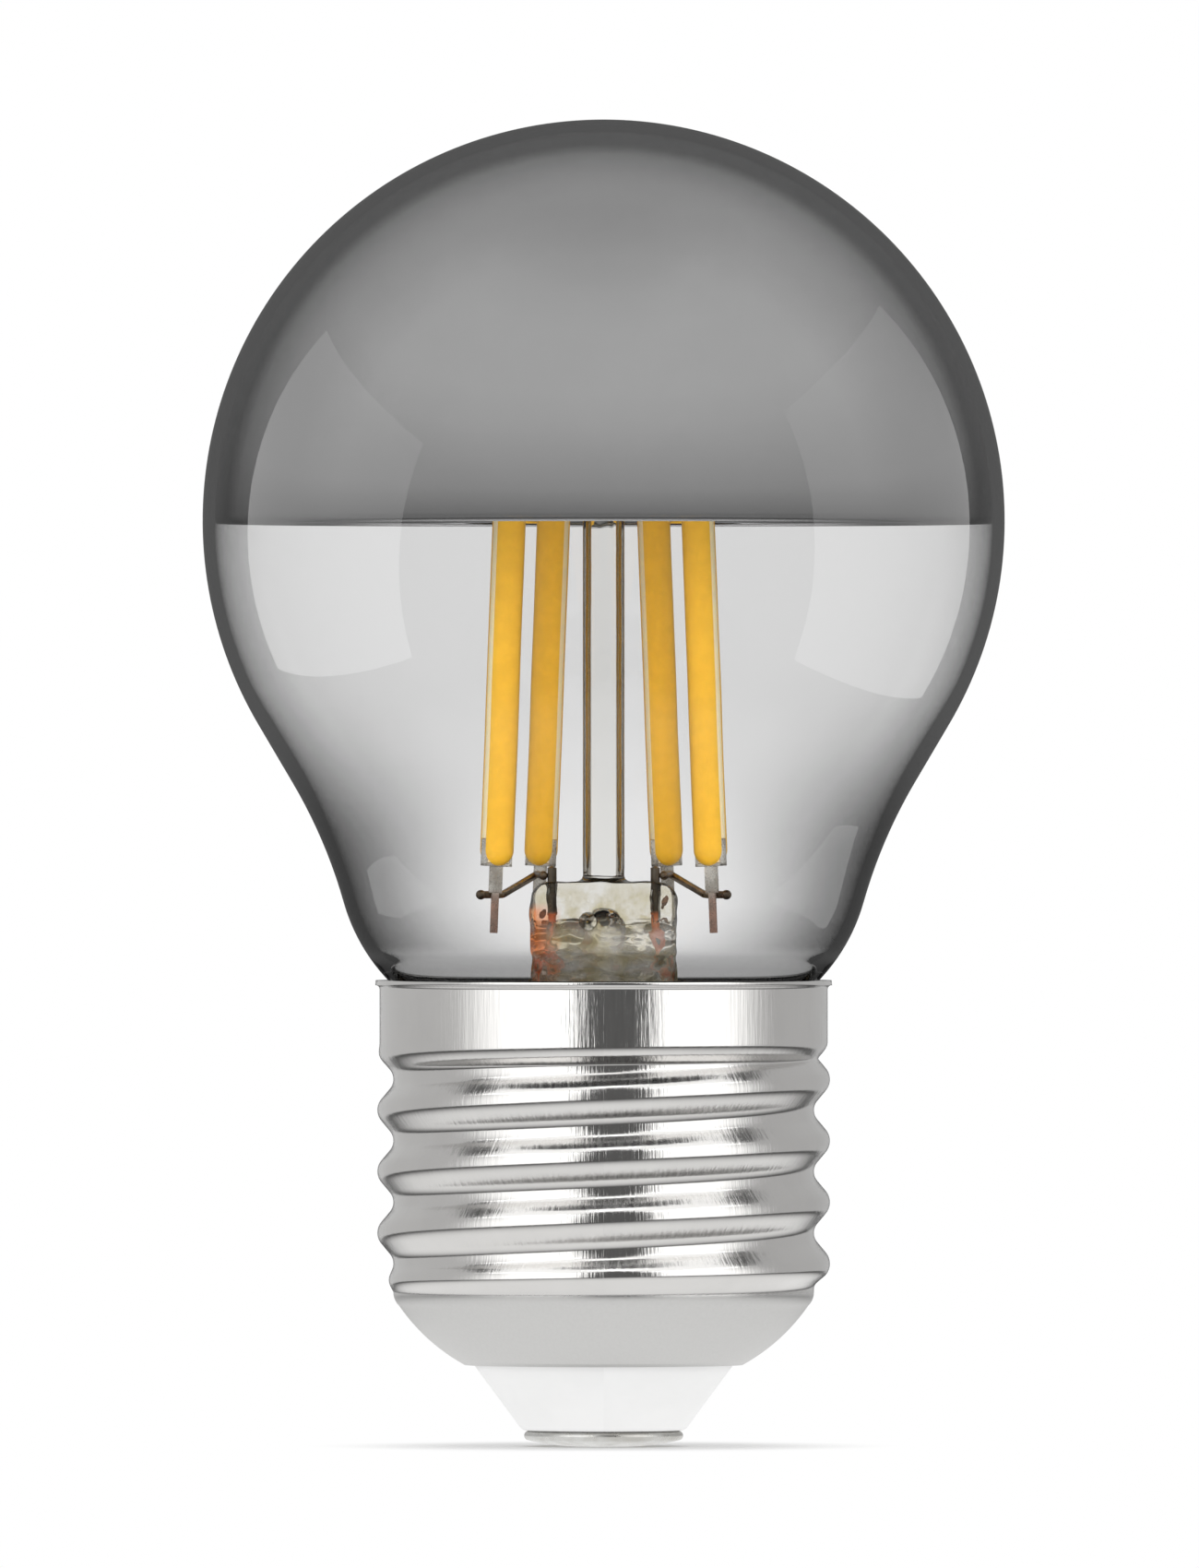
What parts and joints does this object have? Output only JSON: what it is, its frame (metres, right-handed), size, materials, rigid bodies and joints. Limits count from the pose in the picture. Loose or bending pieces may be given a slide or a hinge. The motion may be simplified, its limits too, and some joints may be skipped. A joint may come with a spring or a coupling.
{
  "type": "silver crown bulb",
  "caption": "Round filament lamp with a mirrored crown, clear lower glass, upright light-emitting strips on a glass stem, and a screw cap.",
  "frame": {"origin": "middle of the flat land under the centre contact, on the lamp's axis", "axes": "+Z along the lamp's axis from the contact to the mirrored crown, -Y towards the viewer of the picture, +X to the viewer's right"},
  "size_m": [0.0474, 0.0474, 0.0784],
  "materials": {
    "smoked_glass": "polished",
    "silver_coat": "mirror",
    "stem_glass": "polished",
    "strip_ceramic": "matt",
    "phosphor": "satin",
    "clip_metal": "satin",
    "wire_metal": "satin",
    "cement": "matt",
    "board": "satin",
    "capacitor_sleeve": "gloss",
    "resistor_coat": "satin",
    "chip_plastic": "matt",
    "solder": "satin",
    "wire_jacket": "satin",
    "nickel_plate": "bright nickel plate",
    "white_insulator": "satin",
    "contact_metal": "satin"
  },
  "bodies": {
    "root": {"glass_envelope": "smoked_glass", "crown_mirror": "silver_coat", "glass_stem": "stem_glass", "front_left_strip": "strip_ceramic", "front_left_phosphor": "phosphor", "front_left_clips": "clip_metal", "front_right_strip": "strip_ceramic", "front_right_phosphor": "phosphor", "front_right_clips": "clip_metal", "rear_left_strip": "strip_ceramic", "rear_left_phosphor": "phosphor", "rear_left_clips": "clip_metal", "rear_right_strip": "strip_ceramic", "rear_right_phosphor": "phosphor", "rear_right_clips": "clip_metal", "lead_wire_left": "wire_metal", "lead_wire_right": "wire_metal", "cross_wire_left": "wire_metal", "cross_wire_right": "wire_metal", "head_wire_front": "wire_metal", "head_wire_rear": "wire_metal", "basing_cement": "cement", "driver_board": "board", "smoothing_capacitor": "capacitor_sleeve", "fusible_resistor": "resistor_coat", "bridge_rectifier": "chip_plastic", "driver_chip": "chip_plastic", "chip_resistors": "chip_plastic", "solder_joints": "solder", "live_wire": "wire_jacket", "side_wire": "wire_jacket", "cap_shell": "nickel_plate", "cap_insulator": "white_insulator", "centre_contact": "contact_metal"}
  },
  "joints": []
}
